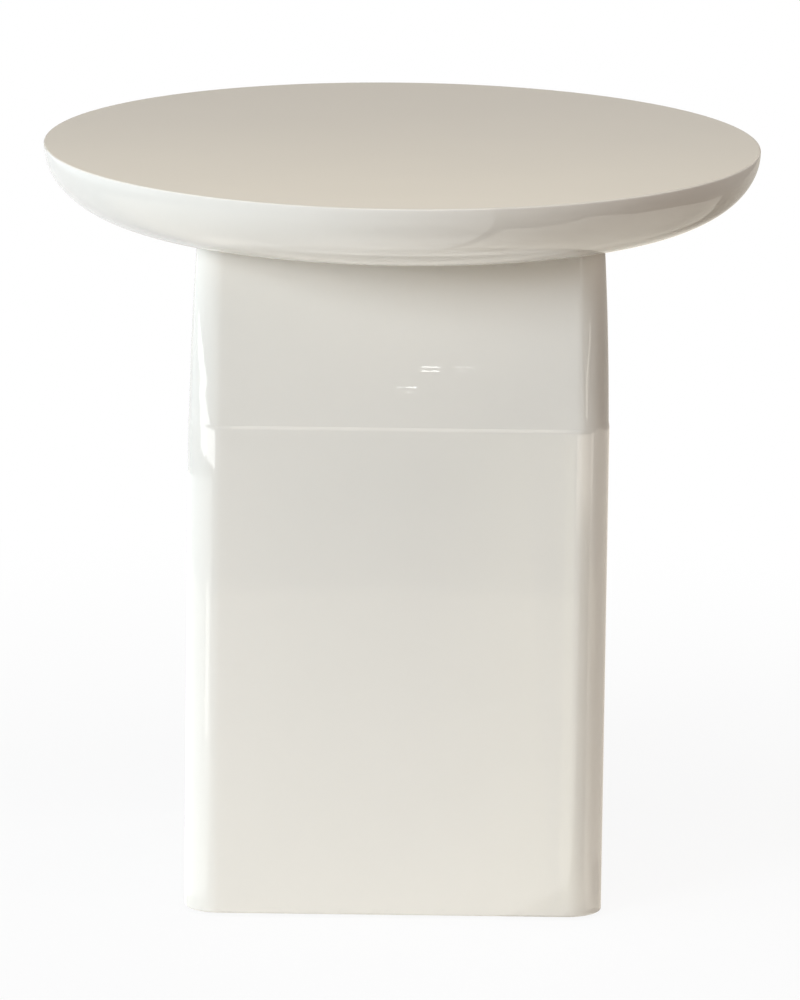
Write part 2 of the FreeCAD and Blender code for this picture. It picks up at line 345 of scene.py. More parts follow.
@dataclass(frozen=True)
class Coated(Finish):
    """A painted, plated or moulded surface: a colour that drifts, a rubbed gloss and often a fine relief.

    The drift has a scale and an amount, the gloss a scale with its smoothest and roughest value, and the relief
    the size and height of its peel, of its waves and of its nibs.
    """

    colour: Colour
    drift: Spot
    gloss: Point
    relief: tuple[float, ...] = ()
    metallic: float = 0.0
    ior: float = 1.5

    def wire(self, graph: Graph) -> None:
        """Fills the material's nodes.

        Args:
            graph: the material's graph, still empty.
        """
        place = graph.place()
        colour = TONE_DRIFT.place(graph, place, self.colour, *self.drift)[0]
        rough = RUBBED_GLOSS.place(graph, place, *self.gloss)[0]
        colour, rough = self.worn(graph, place, colour, rough)
        film = SPRAYED_FILM.place(graph, place, *self.relief)[0] if self.relief else None
        inputs = {"Base Color": colour, "Roughness": rough, "Metallic": self.metallic, "IOR": self.ior}
        self.close(graph, inputs, film)

    def worn(self, graph: Graph, place: Socket, colour: Socket, rough: Socket) -> tuple[Socket, Socket]:
        """The colour and roughness after wear, which a plain coat doesn't show."""
        return colour, rough


@dataclass(frozen=True)
class Lacquer(Coated):
    """High-gloss lacquer, sprayed and polished, with faint scuffs just over the floor."""

    scuff_colour: Colour = (0.50, 0.47, 0.42, 1.0)
    scuff_heights: Spot = (0.009, 0.002)
    scuff_scale: float = 140.0
    scuff_range: Spot = (0.56, 0.72)
    scuff_strength: float = 0.14
    scuff_roughness: float = 0.5

    def worn(self, graph: Graph, place: Socket, colour: Socket, rough: Socket) -> tuple[Socket, Socket]:
        """Adds the scuffs.

        Args:
            graph: the material's graph.
            place: the coordinates that the scuffs read.
            colour: the unworn colour.
            rough: the unworn roughness.

        Returns:
            The worn colour and roughness.
        """
        low = graph.ramp(graph.along("Z"), *self.scuff_heights)
        rubs = graph.ramp(graph.noise(place, self.scuff_scale, detail=4.0, rough=0.6), *self.scuff_range)
        scuffs = graph.math("MULTIPLY", graph.math("MULTIPLY", low, rubs), self.scuff_strength)
        rougher = graph.math("MULTIPLY", scuffs, self.scuff_roughness)
        return graph.mix(scuffs, colour, self.scuff_colour), graph.math("ADD", rough, rougher)


@dataclass(frozen=True)
class BareWood(Finish):
    """Unfinished wood with its fibres along one direction."""

    light: Colour
    dark: Colour
    stretch: Point
    band_scale: float = 22.0
    fibre_scale: float = 260.0
    fibre_height: float = 4.0e-5
    gloss: Point = (60.0, 0.5, 0.7)

    def wire(self, graph: Graph) -> None:
        """Fills the material's nodes.

        Args:
            graph: the material's graph, still empty.
        """
        place = graph.node("ShaderNodeMapping", {"Vector": graph.place(), "Scale": self.stretch}).outputs[0]
        colour, height = WOOD_FIGURE.place(
            graph, place, self.band_scale, self.fibre_scale, self.light, self.dark, self.fibre_height)
        rough = RUBBED_GLOSS.place(graph, place, *self.gloss)[0]
        self.close(graph, {"Base Color": colour, "Roughness": rough}, height)


LACQUER = Lacquer(
    "polished cream lacquer", (0.80, 0.768, 0.70, 1.0), (6.0, 0.03), (18.0, 0.006, 0.018),
    (0.0035, 6.0e-8, 0.075, 6.0e-5, 0.045, 6.0e-5))
PRIMED_BOARD = Coated(
    "primed fibreboard", (0.55, 0.48, 0.40, 1.0), (35.0, 0.16), (30.0, 0.55, 0.75),
    (0.0012, 3.0e-5, 0.05, 4.0e-5, 0.02, 8.0e-5))
NYLON = Coated(
    "moulded nylon", (0.17, 0.165, 0.16, 1.0), (180.0, 0.2), (260.0, 0.38, 0.62),
    (0.0006, 1.2e-5, 0.01, 2.0e-5, 0.006, 3.0e-5))
ZINC = Coated("zinc plated steel", (0.72, 0.73, 0.74, 1.0), (240.0, 0.25), (420.0, 0.26, 0.46), metallic=1.0)
BRASS = Coated("turned brass", (0.78, 0.62, 0.33, 1.0), (240.0, 0.25), (420.0, 0.2, 0.38), metallic=1.0)
PLYWOOD = BareWood("birch plywood", (0.80, 0.67, 0.49, 1.0), (0.68, 0.54, 0.36, 1.0), (0.3, 0.3, 1.0))
BEECH = BareWood("steamed beech", (0.76, 0.59, 0.42, 1.0), (0.62, 0.45, 0.29, 1.0), (1.0, 1.0, 0.12))


class Bench:
    """Mesh operations that several pieces share."""

    @staticmethod
    def everything(bm: Form) -> list[Any]:
        """All the mesh's vertices, edges and faces."""
        return bm.verts[:] + bm.edges[:] + bm.faces[:]

    @classmethod
    def slice_along(cls, bm: Form, axis: Vector, places: Iterable[float]) -> None:
        """Adds edge loops across an axis, at places along it."""
        for place in places:
            bmesh.ops.bisect_plane(
                bm, geom=cls.everything(bm), plane_co=axis * place, plane_no=axis, dist=TOUCH)

    @classmethod
    def saw_off(cls, bm: Form, direction: Vector, distance: float) -> None:
        """Saws off an end, and closes the cut.

        Args:
            bm: the mesh.
            direction: the way to that end.
            distance: where the cut lies, that way from the origin.
        """
        sawn = bmesh.ops.bisect_plane(
            bm, geom=cls.everything(bm), plane_co=direction * distance, plane_no=direction, dist=TOUCH,
            clear_outer=True)
        loop = [item for item in sawn["geom_cut"] if isinstance(item, bmesh.types.BMEdge)]
        bmesh.ops.edgeloop_fill(bm, edges=loop)

    @staticmethod
    def bevel(bm: Form, edges: list[bmesh.types.BMEdge], width: float, segments: int) -> None:
        """Rounds edges over a width."""
        bmesh.ops.bevel(
            bm, geom=edges, offset=width, offset_type="OFFSET", segments=segments, profile=0.5,
            affect="EDGES", material=-1)

    @staticmethod
    def profile(bm: Form, points: Sequence[Any]) -> list[Any]:
        """Draws a line.

        Args:
            bm: the mesh that gets the line.
            points: what it runs through.

        Returns:
            Its vertices and edges.
        """
        verts = [bm.verts.new(point) for point in points]
        edges = [bm.edges.new(pair) for pair in zip(verts, verts[1:])]
        return verts + edges

    @classmethod
    def turn(cls, bm: Form, points: Sequence[Vector], steps: int) -> None:
        """Turns a profile about the upright axis and closes its poles.

        Args:
            bm: the mesh that gets the turned form.
            points: the profile, with its ends on the axis.
            steps: how many faces go round.
        """
        outline = cls.profile(bm, points)
        bmesh.ops.spin(
            bm, geom=outline, cent=(0, 0, 0), axis=UP, dvec=(0, 0, 0), angle=math.tau, steps=steps,
            use_merge=True)
        bmesh.ops.remove_doubles(bm, verts=bm.verts, dist=TOUCH)

    @staticmethod
    def quarter_turned(bm: Form, quarters: int) -> Form:
        """Copies a mesh, turned about the upright axis.

        Args:
            bm: the mesh, which stays as it is.
            quarters: how many quarter turns to the left, seen from above.

        Returns:
            The copy.
        """
        copy = bm.copy()
        matrix = Matrix.Rotation(QUARTER_TURN * quarters, 3, "Z")
        bmesh.ops.rotate(copy, cent=(0, 0, 0), matrix=matrix, verts=copy.verts)
        return copy

    @staticmethod
    def mesh(name: str, bm: Form) -> bpy.types.Mesh:
        """Makes a mesh.

        Args:
            name: the mesh's name.
            bm: what it is made of, which is freed.

        Returns:
            The mesh.
        """
        made = bpy.data.meshes.new(name)
        bm.to_mesh(made)
        bm.free()
        return made

    @staticmethod
    def set_out(name: str, data: bpy.types.ID) -> bpy.types.Object:
        """Puts an object in the scene, at the origin.

        Args:
            name: the object's name.
            data: its mesh, lamp or camera.

        Returns:
            The object.
        """
        made = bpy.data.objects.new(name, data)
        bpy.context.scene.collection.objects.link(made)
        return made

    @classmethod
    def piece(
        cls, name: str, bm: Form, finish: Finish, slot: Slot, body: str, nodes: Sequence[str],
    ) -> None:
        """Makes a finished piece of a mesh and puts it on its body.

        Args:
            name: the piece's name.
            bm: its mesh, in place, which is freed.
            finish: its finish.
            slot: the record's slot for the piece; not used.
            body: the body that it rides on.
            nodes: the CAD nodes that it stands for.
        """
        bmesh.ops.recalc_face_normals(bm, faces=bm.faces)
        for face in bm.faces:
            face.smooth = True
        for edge in bm.edges:
            edge.smooth = edge.calc_face_angle(0.0) < SMOOTH_LIMIT
        mesh = cls.mesh(name, bm)
        mesh.materials.append(finish.material())
        made = cls.set_out(name, mesh)
        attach(made, body)
        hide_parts(*nodes)
        LOG.info("%s: %d faces, for %s", name, len(mesh.polygons), ", ".join(nodes))


@dataclass
class RoundTop:
    """The round top, turned from one profile: flat underside, bowl curve, fine rim edge and flat top."""

    radius: float = field(default_factory=lambda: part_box("top_board")[1].x)
    head: float = field(default_factory=lambda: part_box("top_board")[1].z)
    foot: float = field(default_factory=lambda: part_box("top_underlayer")[0].z)
    flat_radius: float = 0.182
    rim_arris: float = 0.0011
    rim_support_share: float = 0.4
    bowl_fullness_share: float = 0.552
    bowl_steps: int = 49
    arris_steps: int = 9
    steps_round: int = 320
    under_rings: Point = (0, 0.5, 0.99)
    over_rings: Point = (0.9, 0.5, 0)

    def build(self) -> None:
        """Builds and dresses the top as one lacquered skin over its two layers."""
        rim = self.head - self.rim_arris
        reach = (self.radius - self.flat_radius) * self.bowl_fullness_share
        rise = (rim - self.foot) * self.bowl_fullness_share
        flat_end = Vector((self.flat_radius, 0, self.foot))
        rim_low = Vector((self.radius, 0, rim))
        rim_high = Vector((self.radius - self.rim_arris, 0, self.head))
        handle = self.rim_arris * ROUND_HANDLE_SHARE
        bowl = interpolate_bezier(
            flat_end, flat_end + Vector((reach, 0, 0)), rim_low - UP * rise, rim_low, self.bowl_steps)
        arris = interpolate_bezier(
            rim_low, rim_low + UP * handle, rim_high + Vector((handle, 0, 0)), rim_high, self.arris_steps)
        support = self.rim_arris * self.rim_support_share
        under = [Vector((share * self.flat_radius, 0, self.foot)) for share in self.under_rings]
        over = [Vector((self.radius - self.rim_arris - support, 0, self.head))]
        over += [Vector((share * self.radius, 0, self.head)) for share in self.over_rings]
        bm = bmesh.new()
        Bench.turn(bm, under + list(bowl) + list(arris[1:]) + over, self.steps_round)
        Bench.piece("lacquered_top", bm, LACQUER, Slot.LACQUER, Body.TABLE.value, ["top_board", "top_underlayer"])


@dataclass
class Column:
    """The rounded-square column: straight panels and posts, and over them the shoulder that curves in."""

    half: float = field(default_factory=lambda: -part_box("panel_front")[0].y)
    inner: float = field(default_factory=lambda: -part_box("panel_front")[1].y)
    seam: float = field(default_factory=lambda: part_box("panel_front")[1].x)
    foot: float = field(default_factory=lambda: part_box("panel_front")[0].z)
    joint: float = field(default_factory=lambda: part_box("panel_front")[1].z)
    head: float = field(default_factory=lambda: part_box("shoulder_front")[1].z)
    corner_radius: float = 0.024
    corner_steps: int = 28
    bottom_arris: float = 0.0015
    bottom_steps: int = 6
    bottom_row_share: float = 1.3
    joint_reveal: float = 0.0006
    joint_arris: float = 0.0029
    joint_softness: float = 0.6
    fill_reach: float = 9
    shoulder_inset: float = 0.0045
    first_draw_share: float = 0.28
    corner_unevenness: float = 0.00015
    unevenness_scale: Point = (9, 9, 16)
    joint_waver: float = 0.0002
    waver_reach: float = 4
    waver_scale: float = 17
    waver_seed: float = 3.7
    straight_rows: int = 16
    shoulder_rows: int = 30
    rows_across: int = 14
    arris_rows: tuple[float, ...] = (-0.3, 0, 0.2, 0.4, 0.6, 0.75, 0.86, 0.94, 0.985)

    def prism(self, low: float, high: float) -> Form:
        """Makes a rounded-square prism.

        Args:
            low: its lower height.
            high: its upper height.

        Returns:
            The prism's mesh.
        """
        bm = bmesh.new()
        bmesh.ops.create_cube(bm, size=1.0)
        bmesh.ops.scale(bm, vec=(self.half * 2, self.half * 2, high - low), verts=bm.verts)
        bmesh.ops.translate(bm, vec=UP * ((low + high) / 2), verts=bm.verts)
        upright = [edge for edge in bm.edges if abs(edge.verts[0].co.z - edge.verts[1].co.z) > TOUCH]
        Bench.bevel(bm, upright, self.corner_radius, self.corner_steps)
        return bm

    def draw_in(self, bm: Form, inset: Callable[[float], float]) -> None:
        """Draws the outer face in towards the corner centres.

        Args:
            bm: the prism, which is changed.
            inset: how far it is drawn in at a height.
        """
        flat = self.half - self.corner_radius
        scale = self.unevenness_scale
        for vert in bm.verts:
            x, y, z = vert.co
            core = Vector((max(-flat, min(flat, x)), max(-flat, min(flat, y)), z))
            out = vert.co - core
            if out.length < TOUCH:
                continue
            across = abs(out.x * out.y) / out.length_squared * 2
            drift = noise.noise(Vector((x * scale[0], y * scale[1], z * scale[2]))) * 0.5 + 0.5
            depth = inset(z) - self.joint_fill(z) * across
            depth += self.corner_unevenness * drift * across * across
            vert.co = core + out * (1 - depth / self.corner_radius)

    def joint_fill(self, height: float) -> float:
        """How much of the reveal the lacquer fills where the joint goes round a corner.

        Args:
            height: where on the corner.

        Returns:
            The depth that is filled, at most what the column is drawn in there.
        """
        near = max(0.0, 1 - abs(height - self.joint) / (self.joint_arris * self.fill_reach))
        fill = self.joint_reveal * near
        return fill if height > self.joint - TOUCH else min(fill, self.column_inset(height))

    def waver(self, bm: Form) -> None:
        """Lets the joint line waver a little, as a filled and sanded line does.

        Args:
            bm: the form, which is changed less the further it is from the line.
        """
        reach = self.joint_arris * self.waver_reach
        scale = self.waver_scale
        for vert in bm.verts:
            fade = max(0.0, 1 - abs(vert.co.z - self.joint) / reach)
            sway = noise.noise(Vector((vert.co.x * scale, vert.co.y * scale, self.waver_seed)))
            vert.co.z += self.joint_waver * sway * fade

    def column_inset(self, height: float) -> float:
        """How far the straight column is drawn in at a height: only at its softened upper edge."""
        into = max(0.0, height - (self.joint - self.joint_arris)) / self.joint_arris
        return self.joint_reveal * into * into * (1 + self.joint_softness - self.joint_softness * into)

    def shoulder_inset_at(self, height: float) -> float:
        """How far the shoulder is drawn in: slowly at first, then faster.

        Args:
            height: where on the shoulder.

        Returns:
            The inset.
        """
        share = (height - self.joint) / (self.head - self.joint)
        draw = self.first_draw_share * share + (1 - self.first_draw_share) * share * share
        return self.joint_reveal + self.shoulder_inset * draw

    def straight_form(self) -> Form:
        """Makes the straight column's outer form.

        Returns:
            Its mesh.
        """
        bm = self.prism(self.foot, self.joint)
        lower = [edge for edge in bm.edges if all(v.co.z < self.foot + TOUCH for v in edge.verts)]
        Bench.bevel(bm, lower, self.bottom_arris, self.bottom_steps)
        straight_top = self.joint - self.joint_arris
        count = self.straight_rows
        rows = [self.foot + self.bottom_arris * self.bottom_row_share]
        rows += [self.foot + (straight_top - self.foot) * step / count for step in range(1, count)]
        rows += [straight_top + self.joint_arris * share for share in self.arris_rows]
        Bench.slice_along(bm, UP, rows)
        return self.shaped(bm, self.column_inset)

    def shoulder_form(self) -> Form:
        """Makes the shoulder's outer form.

        Returns:
            Its mesh.
        """
        bm = self.prism(self.joint, self.head)
        count = self.shoulder_rows
        rows = [self.joint + (self.head - self.joint) * step / count for step in range(1, count)]
        Bench.slice_along(bm, UP, rows)
        return self.shaped(bm, self.shoulder_inset_at)

    def shaped(self, bm: Form, inset: Callable[[float], float]) -> Form:
        """Draws a prism in, with upright loops over its flats, so that the joint line can waver.

        Args:
            bm: the prism, which is changed.
            inset: how far it is drawn in at a height.

        Returns:
            The same mesh.
        """
        places = [self.seam * step / self.rows_across for step in range(-self.rows_across, self.rows_across + 1)]
        Bench.slice_along(bm, RIGHT, places)
        Bench.slice_along(bm, BACK, places)
        self.draw_in(bm, inset)
        self.waver(bm)
        return bm

    def build(self) -> None:
        """Builds and dresses the boards and corner pieces of the column and its shoulder."""
        board = ((RIGHT, self.seam), (-RIGHT, self.seam), (BACK, -self.inner))
        block = ((-RIGHT, -self.seam), (BACK, -self.seam))
        for form, board_name, block_name in (
            (self.straight_form(), "panel", "corner_post"),
            (self.shoulder_form(), "shoulder", "shoulder_corner"),
        ):
            for side in Side:
                self.cut(form, side, board, board_name)
            for corner in Corner:
                self.cut(form, corner, block, block_name)
            form.free()

    @staticmethod
    def cut(form: Form, way: Side | Corner, cuts: Iterable[tuple[Vector, float]], kind: str) -> None:
        """Cuts one lacquered piece out of a form, to stand for a CAD node.

        Args:
            form: the form, which stays whole.
            way: the side or corner that the piece is for.
            cuts: the direction and distance of each cut that frees the piece at the front.
            kind: the start of the node's name.
        """
        turned = Bench.quarter_turned(form, -way.value)
        for direction, distance in cuts:
            Bench.saw_off(turned, direction, distance)
        piece = Bench.quarter_turned(turned, way.value)
        turned.free()
        node = kind + "_" + way.name.lower()
        Bench.piece("lacquered_" + node, piece, LACQUER, Slot.LACQUER, Body.TABLE.value, [node])


@dataclass
class LevellingGlide:
    """One levelling glide: a nylon pad, and a steel stud with a foot, a hexagon and a thread."""

    corner: Corner
    pad_edge: float = 0.0015
    pad_edge_steps: int = 8
    sole_dish: float = 0.0004
    dish_shares: Spot = (0.62, 0.66)
    recess_depth: float = 0.002
    recess_clearance: float = 0.0001
    foot_radius: float = 0.010
    hex_flats: float = 0.014
    hex_height: float = 0.0057
    stud_arris: float = 0.0003
    thread_radius: float = 0.004
    thread_depth: float = 0.0006
    pitch: float = 0.00125
    steps_round: int = 48
    thread_steps: int = 24

    @property
    def label(self) -> str:
        """The corner's name as the nodes spell it."""
        return self.corner.name.lower()

    def build(self) -> None:
        """Builds and dresses the pad and the stud."""
        low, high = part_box("leveller_pad_" + self.label)
        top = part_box("leveller_stud_" + self.label)[1].z
        axis = Vector(((low.x + high.x) / 2, (low.y + high.y) / 2, low.z))
        for part, bm, finish, slot in (
            ("pad", self.pad((high.x - low.x) / 2, high.z - low.z), NYLON, Slot.NYLON),
            ("stud", self.stud(high.z - low.z, top - low.z), ZINC, Slot.ZINC),
        ):
            bmesh.ops.translate(bm, vec=axis, verts=bm.verts)
            node = "leveller_" + part + "_" + self.label
            Bench.piece("made_" + node, bm, finish, slot, "glide_" + self.label, [node])

    def pad(self, radius: float, height: float) -> Form:
        """The turned pad, with a dished sole, rounded edges and a recess for the stud's foot.

        Args:
            radius: the pad's outer radius.
            height: its height.

        Returns:
            The pad's mesh, on the axis.
        """
        edge = self.pad_edge
        bend_in = edge * (1 - ROUND_HANDLE_SHARE)
        lower = interpolate_bezier(
            Vector((radius - edge, 0, 0)), Vector((radius - bend_in, 0, 0)),
            Vector((radius, 0, bend_in)), Vector((radius, 0, edge)), self.pad_edge_steps)
        upper = [Vector((point.x, 0, height - point.z)) for point in reversed(lower)]
        inner, outer = self.dish_shares
        dish = [Vector((0, 0, self.sole_dish)), Vector((radius * inner, 0, self.sole_dish)),
                Vector((radius * outer, 0, 0))]
        recess = self.foot_radius + self.recess_clearance
        floor = height - self.recess_depth
        seat = [Vector((recess, 0, height)), Vector((recess, 0, floor)), Vector((0, 0, floor))]
        bm = bmesh.new()
        Bench.turn(bm, dish + lower + upper + seat, self.steps_round)
        return bm

    def stud(self, pad_height: float, top: float) -> Form:
        """The stud: its foot in the pad, its hexagon, and its thread.

        Args:
            pad_height: where the hexagon starts.
            top: the thread's upper end.

        Returns:
            The stud's mesh, on the axis.
        """
        bm = bmesh.new()
        floor = pad_height - self.recess_depth
        hex_top = pad_height + self.hex_height
        self.thread(bm, hex_top, top)
        for sides, radius, low, high in (
            (self.steps_round, self.foot_radius, floor, pad_height),
            (6, self.hex_flats / 2 / math.cos(math.pi / 6), pad_height, hex_top),
        ):
            made = bmesh.ops.create_cone(
                bm, cap_ends=True, segments=sides, radius1=radius, radius2=radius, depth=high - low,
                matrix=Matrix.Translation(UP * ((low + high) / 2)))
            rims = {e for v in made["verts"] for e in v.link_edges}
            rims = [e for e in rims if abs(e.verts[0].co.z - e.verts[1].co.z) < TOUCH]
            Bench.bevel(bm, rims, self.stud_arris, 2)
        return bm

    def thread(self, bm: Form, low: float, high: float) -> None:
        """Winds a thread about the axis, cut square at both ends.

        Args:
            bm: the mesh that gets the thread.
            low: its lower end.
            high: its upper end.
        """
        root = self.thread_radius - self.thread_depth
        start = low - self.pitch * 2
        tooth = Bench.profile(bm, [
            Vector((root, 0, start)), Vector((self.thread_radius, 0, start + self.pitch / 2)),
            Vector((root, 0, start + self.pitch))])
        turns = math.ceil((high - low) / self.pitch) + 3
        steps = self.thread_steps
        bmesh.ops.spin(
            bm, geom=tooth, cent=(0, 0, 0), axis=UP, dvec=UP * (self.pitch / steps), angle=math.tau * turns,
            steps=steps * turns)
        bmesh.ops.remove_doubles(bm, verts=bm.verts, dist=TOUCH)
        Bench.saw_off(bm, -UP, -low)
        Bench.saw_off(bm, UP, high)


@dataclass
class BasePlateScrews:
    """The countersunk screws under the base plate, with a cross recess in each head."""

    node: str = "base_plate_screws"
    across: float = 0.070
    head_radius: float = 0.004
    head_height: float = 0.0022
    head_sides: int = 12
    shank_radius: float = 0.002
    tip: float = 0.005
    tip_share: float = 0.05
    recess_half: float = 0.0023
    recess_depth: float = 0.0012
    recess_taper_share: float = 0.55
    turn_by_place: float = 31
    turn_by_side: float = 1.3

    def build(self) -> None:
        """Builds and dresses the eight screws as one piece, each driven home at its own turn."""
        low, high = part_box(self.node)
        away = high.x - self.head_radius
        bm = bmesh.new()
        screw = self.screw(high.z - low.z)
        for side in Side:
            for across in (-self.across, self.across):
                place = Vector((across, -away, low.z))
                place.rotate(Matrix.Rotation(QUARTER_TURN * side.value, 3, "Z"))
                turn = Matrix.Rotation(across * self.turn_by_place + side.value * self.turn_by_side, 3, "Z")
                copy = screw.copy()
                bmesh.ops.rotate(copy, cent=(0, 0, 0), matrix=turn, verts=copy.verts)
                bmesh.ops.translate(copy, vec=place, verts=copy.verts)
                mesh = Bench.mesh("screw", copy)
                bm.from_mesh(mesh)
                bpy.data.meshes.remove(mesh)
        screw.free()
        Bench.piece("made_" + self.node, bm, ZINC, Slot.ZINC, Body.TABLE.value, [self.node])

    def screw(self, length: float) -> Form:
        """One screw along +Z, with the flat of its head at zero.

        Args:
            length: from the flat of the head to the point.

        Returns:
            The screw's mesh.
        """
        bm = bmesh.new()
        bmesh.ops.create_grid(bm, x_segments=3, y_segments=3, size=self.recess_half)
        cross = [face for face in bm.faces if min(abs(c) for c in face.calc_center_median().xy) < TOUCH]
        inner_rim = [edge for edge in bm.edges if edge.is_boundary]
        turn = Matrix.Rotation(math.pi / self.head_sides, 4, "Z")
        ring_made = bmesh.ops.create_circle(
            bm, cap_ends=False, segments=self.head_sides, radius=self.head_radius, matrix=turn)
        outer_rim = list({edge for vert in ring_made["verts"] for edge in vert.link_edges})
        bmesh.ops.bridge_loops(bm, edges=inner_rim + outer_rim)
        pressed = bmesh.ops.extrude_face_region(bm, geom=cross)
        verts = [item for item in pressed["geom"] if isinstance(item, bmesh.types.BMVert)]
        taper = self.recess_taper_share
        bmesh.ops.delete(bm, geom=cross, context="FACES")
        bmesh.ops.scale(bm, vec=(taper, taper, 1), verts=verts)
        bmesh.ops.translate(bm, vec=UP * self.recess_depth, verts=verts)
        rim = outer_rim
        for radius, height in (
            (self.shank_radius, self.head_height), (self.shank_radius, length - self.tip),
            (self.shank_radius * self.tip_share, length),
        ):
            rim = self.carry_on(bm, rim, radius, height)
        bmesh.ops.edgeloop_fill(bm, edges=rim)
        return bm

    @staticmethod
    def carry_on(bm: Form, rim: list[bmesh.types.BMEdge], radius: float, height: float) -> list:
        """Extrudes a round rim.

        Args:
            bm: the mesh.
            rim: the rim's edges.
            radius: the radius that it goes on to.
            height: the height that it goes on to.

        Returns:
            The new rim's edges.
        """
        grown = bmesh.ops.extrude_edge_only(bm, edges=rim)["geom"]
        verts = [item for item in grown if isinstance(item, bmesh.types.BMVert)]
        for vert in verts:
            flat = vert.co.xy.normalized() * radius
            vert.co = Vector((flat.x, flat.y, height))
        return [e for e in grown if isinstance(e, bmesh.types.BMEdge) and all(v in verts for v in e.verts)]


@dataclass
class InnerWork:
    """The hidden joinery and fastenings, whose CAD shapes stay and get their finishes."""

    groups: dict[str, Finish] = field(default_factory=lambda: {
        "liner_": PLYWOOD,
        "head_plate": PLYWOOD,
        "panel_splines": PLYWOOD,
        "shoulder_splines": PLYWOOD,
        "base_cleat_": BEECH,
        "joint_dowels": BEECH,
        "base_plate": PRIMED_BOARD,
        "top_inserts": BRASS,
        "leveller_pad_": NYLON,
        "top_board": LACQUER,
        "top_underlayer": LACQUER,
        "panel_": LACQUER,
        "corner_post_": LACQUER,
        "shoulder_": LACQUER,
    })

    def finish_of(self, node: str) -> Finish:
        """Finds the finish of a node.

        Args:
            node: the node's name.

        Returns:
            That of the longest start of its name in groups, or zinc for screws and what is left.
        """
        if node.endswith("_screws"):
            return ZINC
        known = [start for start in self.groups if node.startswith(start)]
        return self.groups[max(known, key=len)] if known else ZINC

    def build(self) -> None:
        """Gives every CAD node a finish, also those that a made piece hides."""
        for node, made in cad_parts.items():
            finish = self.finish_of(node)
            made.data.materials.clear()
            made.data.materials.append(finish.material())
            LOG.info("%s: %s", node, finish.name)


def bend(centre: Spot, radius: float, line: Iterable[Spot]) -> Line:
    """Bends a line round an upright axis.

    Args:
        centre: where the axis stands.
        radius: how far from it the line runs.
        line: a direction, in degrees to the left from the front, and a height, for each point.

    Returns:
        The points, in order.
    """
    turns = [(math.radians(turn), height) for turn, height in line]
    return tuple((centre[0] - radius * math.sin(t), centre[1] - radius * math.cos(t), h) for t, h in turns)


def ring(centre: Spot, turns: tuple[float, float, int], *edges: Spot) -> Sheet:
    """A sheet bent round an upright axis.

    Args:
        centre: where the axis stands.
        turns: its first and last direction, as bend takes them, and the steps between.
        edges: the radius and the height of its lower and of its upper edge.

    Returns:
        The two edges.
    """
    start, end, steps = turns
    spread = [start + (end - start) * step / steps for step in range(steps + 1)]
    return tuple(bend(centre, radius, [(turn, height) for turn in spread]) for radius, height in edges)


def wall(path: Sequence[Spot], low: float, high: float) -> Sheet:
    """An upright sheet over a path on the floor, between two heights."""
    return tuple(tuple((x, y, height) for x, y in path) for height in (low, high))


def mat(across: Spot, along: Spot, height: float) -> Sheet:
    """A level sheet, between two places across and two along."""
    return tuple(tuple((x, y, height) for y in along) for x in across)


def gather(name: str, pieces: Iterable[str]) -> bpy.types.Collection:
    """Collects the pieces that alone take light from a lamp or card.

    Args:
        name: the lamp's or card's name.
        pieces: the pieces' names.

    Returns:
        The collection.
    """
    group = bpy.data.collections.new(name)
    for piece in pieces:
        group.objects.link(bpy.data.objects[piece])
    return group


@dataclass(frozen=True)
class Softbox:
    """A soft studio lamp, for the whole table or for the named pieces only."""

    name: str
    place: Point
    width: float
    height: float
    power: float
    colour: Point = (1.0, 1.0, 1.0)
    aim: Point = (0, 0, 0.3)
    mirrored: bool = False
    pieces: tuple[str, ...] = ()

    def build(self) -> None:
        """Adds the lamp, which no camera sees, and which the lacquer mirrors only where asked."""
        lamp = bpy.data.lights.new(self.name, "AREA")
        lamp.shape = "RECTANGLE"
        lamp.size = self.width
        lamp.size_y = self.height
        lamp.energy = self.power
        lamp.color = self.colour
        made = Bench.set_out(self.name, lamp)
        made.location = self.place
        made.rotation_euler = (Vector(self.aim) - Vector(self.place)).to_track_quat("-Z", "Y").to_euler()
        made.visible_camera = False
        made.visible_glossy = self.mirrored
        if self.pieces:
            made.light_linking.receiver_collection = gather(self.name, self.pieces)


@dataclass(frozen=True)
class Fade:
    """A change along one axis, from none at its start to all at its end."""

    axis: str
    start: float
    end: float


